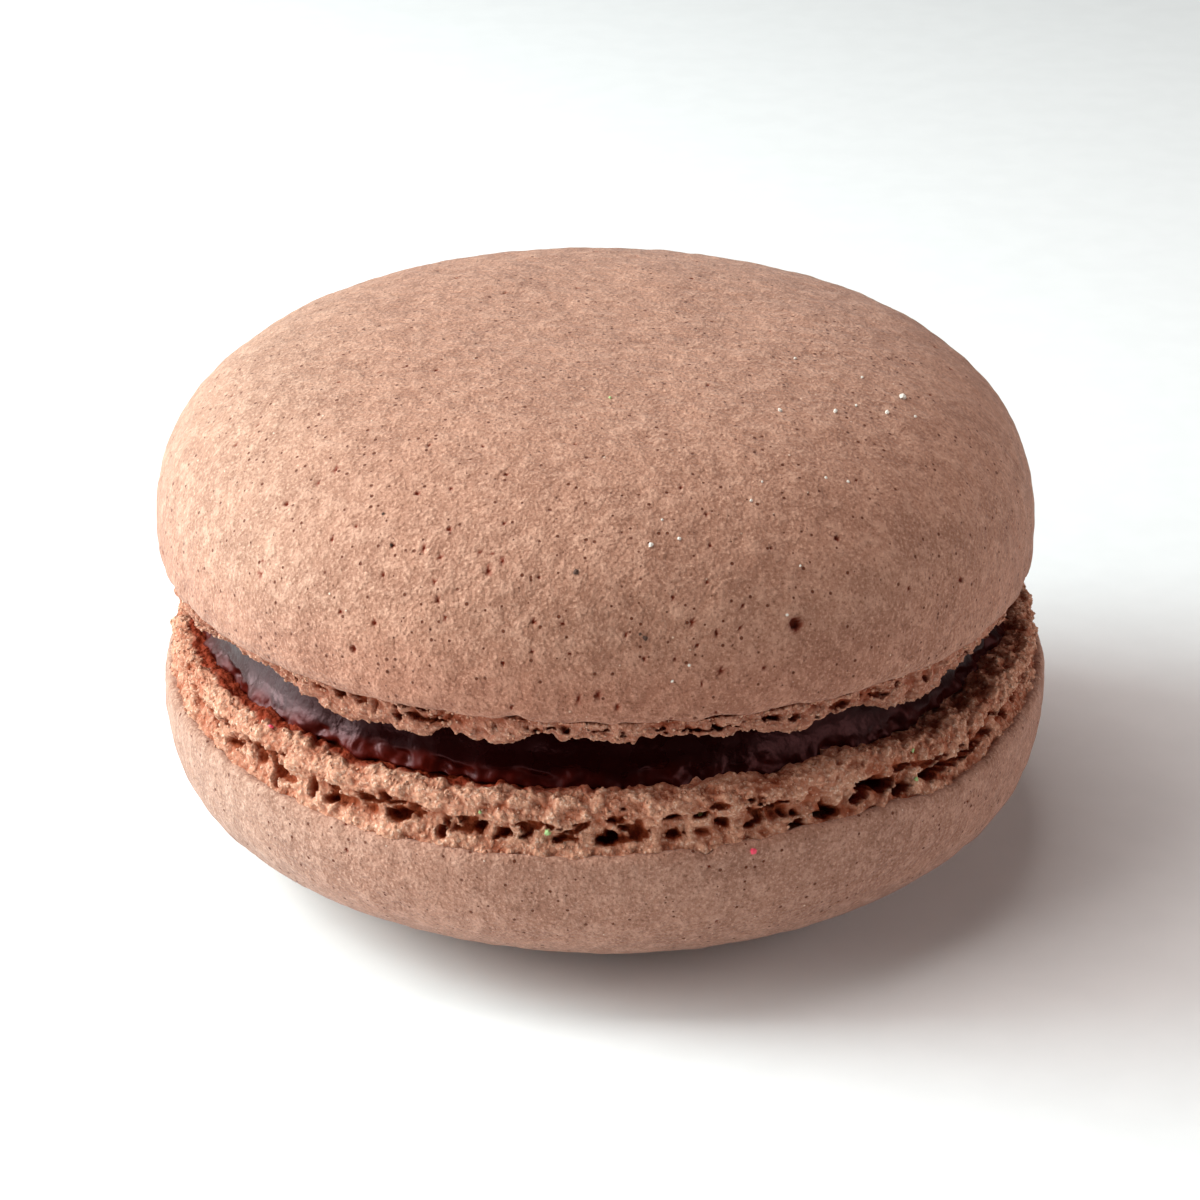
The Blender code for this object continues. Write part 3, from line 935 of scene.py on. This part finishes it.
crumbLook = {
    "tone": (0.670, 0.332, 0.212),
    "pale": (0.865, 0.620, 0.475),
    # cavity and deep: painted shade for the crumb's creases, hollows and holes, with a painted red of light
    # scattered in the crumb
    "cavity": (0.34, 0.070, 0.024),
    "deep": (0.17, 0.018, 0.006),
    "stain": (0.28, 0.034, 0.009),
    # Painted shade of the crust's overhang on the upper foot: darker and redder
    "upperPaintedShade": (0.78, 0.70, 0.70),
    "fine": (0.15 * mm, 4.0, 0.7),
    "warm": (1.6 * mm, 2.0),
    "grit": 0.26 * mm,
    "finePale": (0.50, 0.66),
    # Painted shade in the creases between the fine grains
    "paintedGritShade": (0.40, 0.75, 0.0, 0.4),
    # Depths in millimetres where the crumb turns to the painted shade of its hollows, and to its darkest
    # painted shade
    "paintedShadeDepth": (0.08, -0.36),
    "cavityWarm": 0.3,
    "paintedDeepShadeDepth": (-0.55, -1.3),
    "stainSide": (4 * mm, -6 * mm, 0.4, 1.0),      # the stain is weaker at the right
    "rise": 0.8,
    "relief": 0.18 * mm,
    "roughness": 0.65,
    "gloss": 0.15,
}


def crumbFinish(name, shade=(1.0, 1.0, 1.0)):
    look = crumbLook
    f = Finish(name)
    place = f.place()
    depth = f.mark("cavity")
    fine = f.grain(place, *look["fine"])
    warm = f.grain(place, *look["warm"])
    grit = f.cells(place, look["grit"])
    tone = f.blend(f.between(fine, *look["finePale"]), look["tone"], look["pale"])
    # Painted shade in the creases between the fine grains
    tone = f.blend(f.between(grit, *look["paintedGritShade"]), tone, look["cavity"])
    # Painted shade: darker, redder tones with depth in hollows and holes
    tone = f.blend(f.between(depth + warm * look["cavityWarm"], *look["paintedShadeDepth"]), tone, look["cavity"])
    tone = f.blend(f.between(depth, *look["paintedDeepShadeDepth"]), tone, look["deep"])
    stain = f.mark("stain") * f.between(f.along(place, "X"), *look["stainSide"])
    # Then the stain, and the painted shade of a shaded copy
    tone = f.tint(1.0, f.blend(stain, tone, look["stain"]), shade)
    return f.surface({
        "Base Color": tone,
        "Roughness": look["roughness"],
        "Specular IOR Level": look["gloss"],
        "Normal": f.bump(fine * look["rise"] - grit * look["rise"], look["relief"]),
    })


ganacheLook = {
    "tone": (0.010, 0.0006, 0.0005),
    "thin": (0.080, 0.005, 0.002),
    "shine": (1.0, 0.38, 0.39),
    "gloss": 0.285,
    "soft": (1.2 * mm, 3.0),
    "dimples": (0.3 * mm, 3.0),
    # Thin ganache shows in patches, and less towards the right
    "thinPatches": (0.3, 0.7, 0.3, 1.0),
    "thinSide": (2 * mm, -9 * mm, 0.3, 1.0),
    # Roughness at the front, the left and the right, and where each sets in
    "roughness": (0.27, 0.28, 0.34),
    "leftSide": (-5 * mm, -13 * mm),
    "rightSide": (4 * mm, 11 * mm),
    "roughPatches": (0.35, 0.7, -0.05, 0.07),
    "roughSkirt": 0.08,
    "rise": {"soft": 0.5, "dimples": 0.3},
    "relief": 0.08 * mm,
}


def ganacheFinish(name):
    look = ganacheLook
    f = Finish(name)
    place = f.place()
    soft = f.grain(place, *look["soft"])
    dimples = f.grain(place, *look["dimples"])
    across = f.along(place, "X")
    thin = f.mark("thin") * f.between(soft, *look["thinPatches"]) * f.between(across, *look["thinSide"])
    front, left, right = look["roughness"]
    rough = f.between(across, *look["leftSide"], front, left)
    rough = rough + f.between(across, *look["rightSide"], 0.0, right - front)
    rough = rough + f.between(soft, *look["roughPatches"]) + f.mark("thin") * look["roughSkirt"]
    rise = look["rise"]
    return f.surface({
        "Base Color": f.blend(thin, look["tone"], look["thin"]),
        "Roughness": rough,
        "Specular IOR Level": look["gloss"],
        "Specular Tint": look["shine"],
        "Normal": f.bump(soft * rise["soft"] + dimples * rise["dimples"], look["relief"]),
    })


def grainFinish(name, tone, roughness):
    f = Finish(name)
    fine = f.grain(f.place(), *grainShape["fine"])
    dull = tuple(grainShape["dull"] * channel for channel in tone)
    return f.surface({
        "Base Color": f.blend(f.between(fine, *grainShape["mottled"]), dull, tone),
        "Roughness": roughness,
        "Normal": f.bump(fine, grainShape["relief"]),
    })


# Studio: softboxes round the left side and overhead, a low one at the right
studio = {
    "across": 160 * mm,
    "distance": 300 * mm,
    "centre": Vector((0.0, 0.0, 12 * mm)),
    "unmirrored": ("frontLeftLow", "frontLeftHigh", "right"),      # these don't show in the ganache
    "mirrored": ("rightGlint",),                                   # and this shows only there
    # Azimuth from the right-hand side, elevation, radiance and tint of each
    "boxes": {
        "leftLow": (176, 10, 4.9, "cool"),
        "left": (174, 31, 12.1, "cool"),
        "leftHigh": (174, 55, 3.6, "warm"),
        "over": (180, 82, 3.6, "rose"),
        "frontLeftLow": (-150, 12, 3.5, "warm"),
        "frontLeftHigh": (-150, 40, 3.2, "warm"),
        "backLeftLow": (150, 12, 1.8, "warm"),
        "backLeft": (120, 12, 0.9, "warm"),
        "right": (0, 10, 4.4, "rose"),
        "rightGlint": (-24, 26, 2.3, "warm"),
    },
    "tints": {"cool": (0.82, 1.0, 1.02), "warm": (1.0, 0.96, 0.93), "rose": (1.0, 0.91, 0.88)},
    "lowest": 2 * mm,          # of a box's lower edge above the floor
    "floorTone": (0.87, 0.87, 0.87),
    "floorDull": 0.98,
    "floorGrain": (3 * mm, 2.0),
    "floorMottled": (0.3, 0.7),
    "floorRoughness": 0.9,
    "floorSize": 1.6,
    "room": 0.03,
}


def addSoftbox(name, azimuth, elevation, radiance, tint):
    turn = Euler((0.0, math.radians(-elevation), math.radians(azimuth))).to_matrix()
    direction = turn @ Vector((1.0, 0.0, 0.0))
    data = bpy.data.lights.new(name, "AREA")
    data.shape = "SQUARE"
    data.size = studio["across"]
    data.energy = radiance * math.pi * data.size ** 2
    data.color = studio["tints"][tint]
    light = bpy.data.objects.new(name, data)
    light.visible_glossy = name not in studio["unmirrored"]
    light.visible_diffuse = name not in studio["mirrored"]
    light.location = studio["centre"] + direction * studio["distance"]
    # The lowest ones stand on the floor
    half = data.size / 2 * math.cos(math.radians(elevation))
    light.location.z = max(light.location.z, half + studio["lowest"])
    light.rotation_euler = direction.to_track_quat("Z", "Y").to_euler()
    collection.objects.link(light)


def addFloor():
    bm = bmesh.new()
    bmesh.ops.create_grid(bm, x_segments=1, y_segments=1, size=studio["floorSize"])
    floor = meshFrom("floor", bm)
    f = Finish("floor")
    paper = f.grain(f.place(), *studio["floorGrain"])
    dull = tuple(studio["floorDull"] * channel for channel in studio["floorTone"])
    floor.data.materials.append(f.surface({
        "Base Color": f.blend(f.between(paper, *studio["floorMottled"]), dull, studio["floorTone"]),
        "Roughness": studio["floorRoughness"],
    }))


def addRoom():
    room = bpy.data.worlds.new("room")
    room.use_nodes = True
    background = room.node_tree.nodes["Background"]
    background.inputs["Color"].default_value = (1.0, 1.0, 1.0, 1.0)
    background.inputs["Strength"].default_value = studio["room"]
    bpy.context.scene.world = room
    bpy.context.scene.view_settings.view_transform = "Standard"


def dress(piece, material, slot, *nodes):
    piece.data.materials.append(material)
    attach(piece, "root")
    if nodes:
        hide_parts(*nodes)


addCamera()
print("crusts")
crustSkin = crustFinish("crust")
# The lower crust: a darker, bluer copy of the crust, painted shade
shadedLowerSkin = crustFinish("lowerCrust", crustLook["lowerPaintedShade"])
upper = makeCrust("upperCrust", upperCrust, 3)
lower = makeCrust("lowerCrust", lowerCrust, 4)
dress(upper, crustSkin, "crust", "top_shell")
dress(lower, shadedLowerSkin, "crust", "bottom_shell")
print("feet")
crumbSkin = crumbFinish("crumb")
# The upper foot's crumb: a copy with painted shade from the crust's overhang
shadedSkin = crumbFinish("shadedCrumb", crumbLook["upperPaintedShade"])
upperCrumb = makeFoot("upperFoot", upperFoot, 5)
lowerCrumb = makeFoot("lowerFoot", lowerFoot, 6)
dress(upperCrumb, shadedSkin, "crust", "top_shell")
dress(lowerCrumb, crumbSkin, "crust", "bottom_shell")
loose = makeLooseCrumb("looseCrumb", (upperCrumb, lowerCrumb), 7)
dress(loose, crumbSkin, "crust")
print("ganache")
filling = makeGanache()
dress(filling, ganacheFinish("ganache"), "ganache", "filling")
print("grains")
graph = bpy.context.evaluated_depsgraph_get()
targets = [BVHTree.FromObject(piece, graph) for piece in (upper, lower, upperCrumb, lowerCrumb)]
for name, kind in grains.items():
    dress(scatter(name, kind, targets), grainFinish(*kind["finish"]), "crust")
print("studio")
for name, box in studio["boxes"].items():
    addSoftbox(name, *box)
addFloor()
addRoom()
